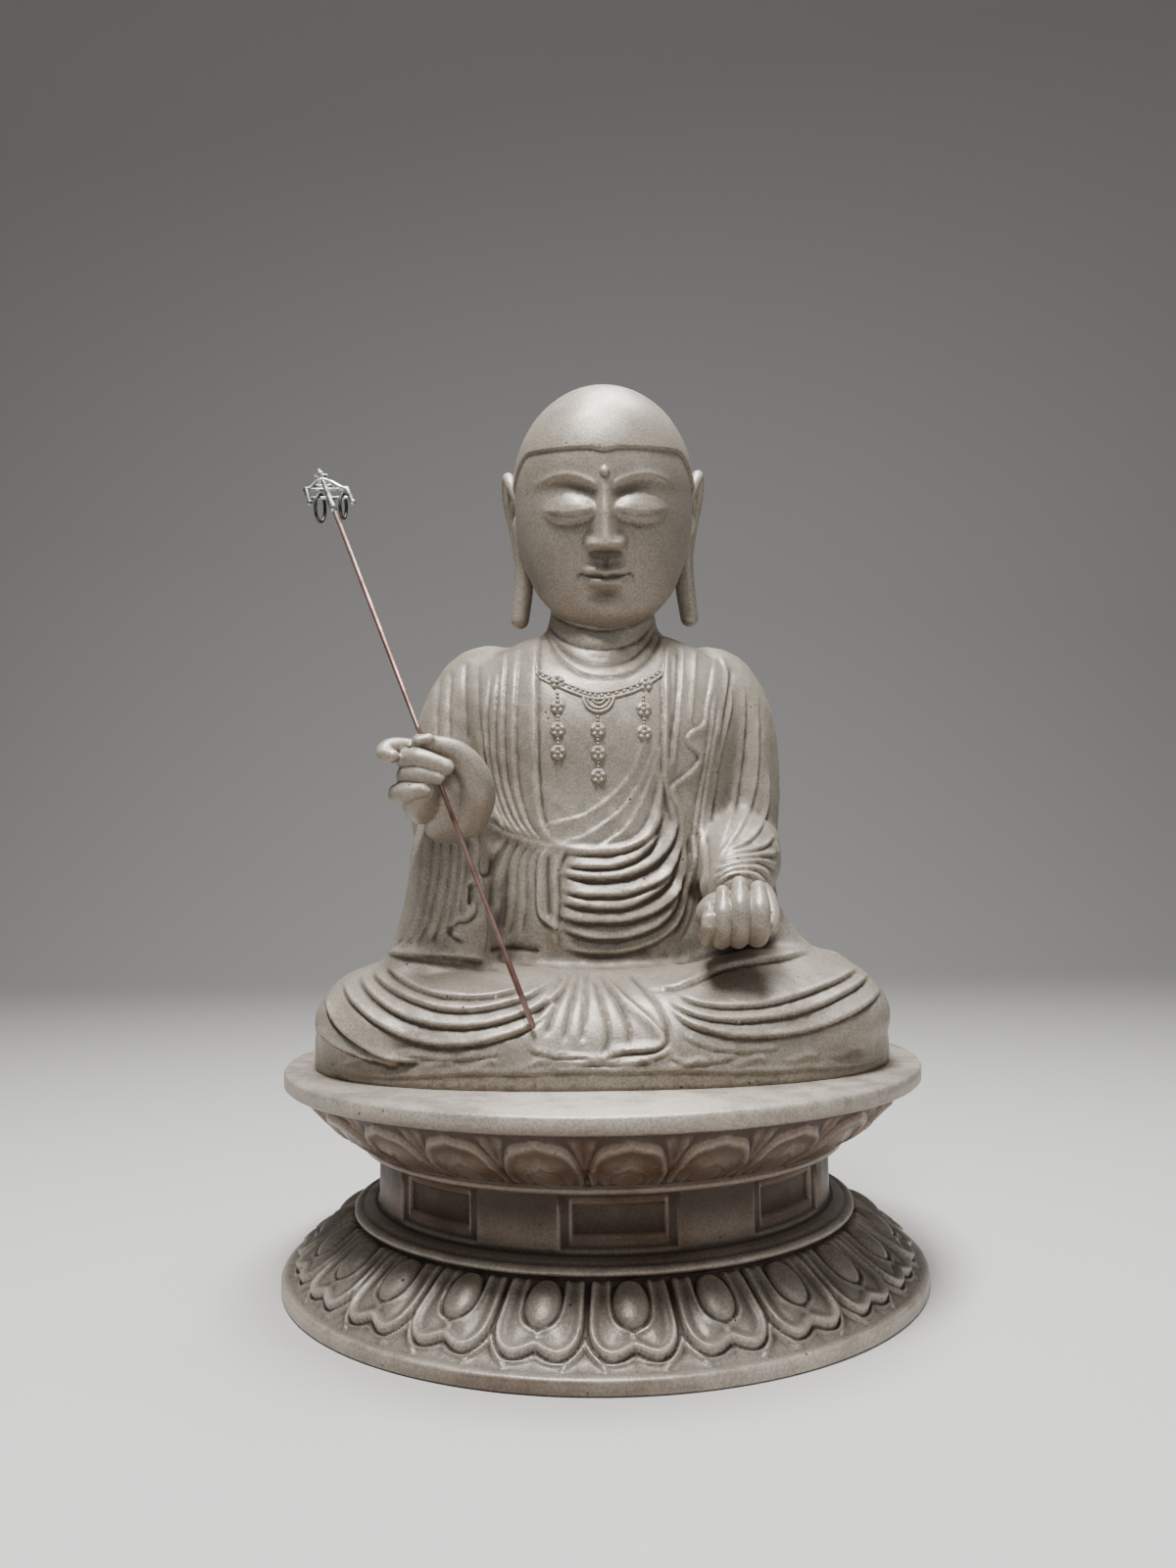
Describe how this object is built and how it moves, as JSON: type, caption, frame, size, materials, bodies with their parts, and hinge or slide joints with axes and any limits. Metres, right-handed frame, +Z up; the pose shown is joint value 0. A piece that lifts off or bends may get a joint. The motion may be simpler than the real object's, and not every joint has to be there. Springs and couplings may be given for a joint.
{
  "type": "ksitigarbha figure",
  "caption": "Seated monk-like Ksitigarbha figure with raised hand and ringed metal staff, on a round lotus plinth.",
  "frame": {"origin": "centre of the plinth's flat round underside", "axes": "+Z up, the figure looks towards -Y, +X is the figure's left"},
  "size_m": [0.314, 0.314, 0.4445],
  "materials": {
    "figure_stoneware": "satin",
    "plinth_stoneware": "satin",
    "copper_rod": "satin",
    "white_metal": "satin",
    "dark_metal": "satin"
  },
  "bodies": {
    "root": {"plinth": "plinth_stoneware", "figure": "figure_stoneware", "staff_shaft": "copper_rod", "staff_head": "white_metal", "staff_ring_right": "dark_metal", "staff_ring_left": "dark_metal"}
  },
  "joints": []
}
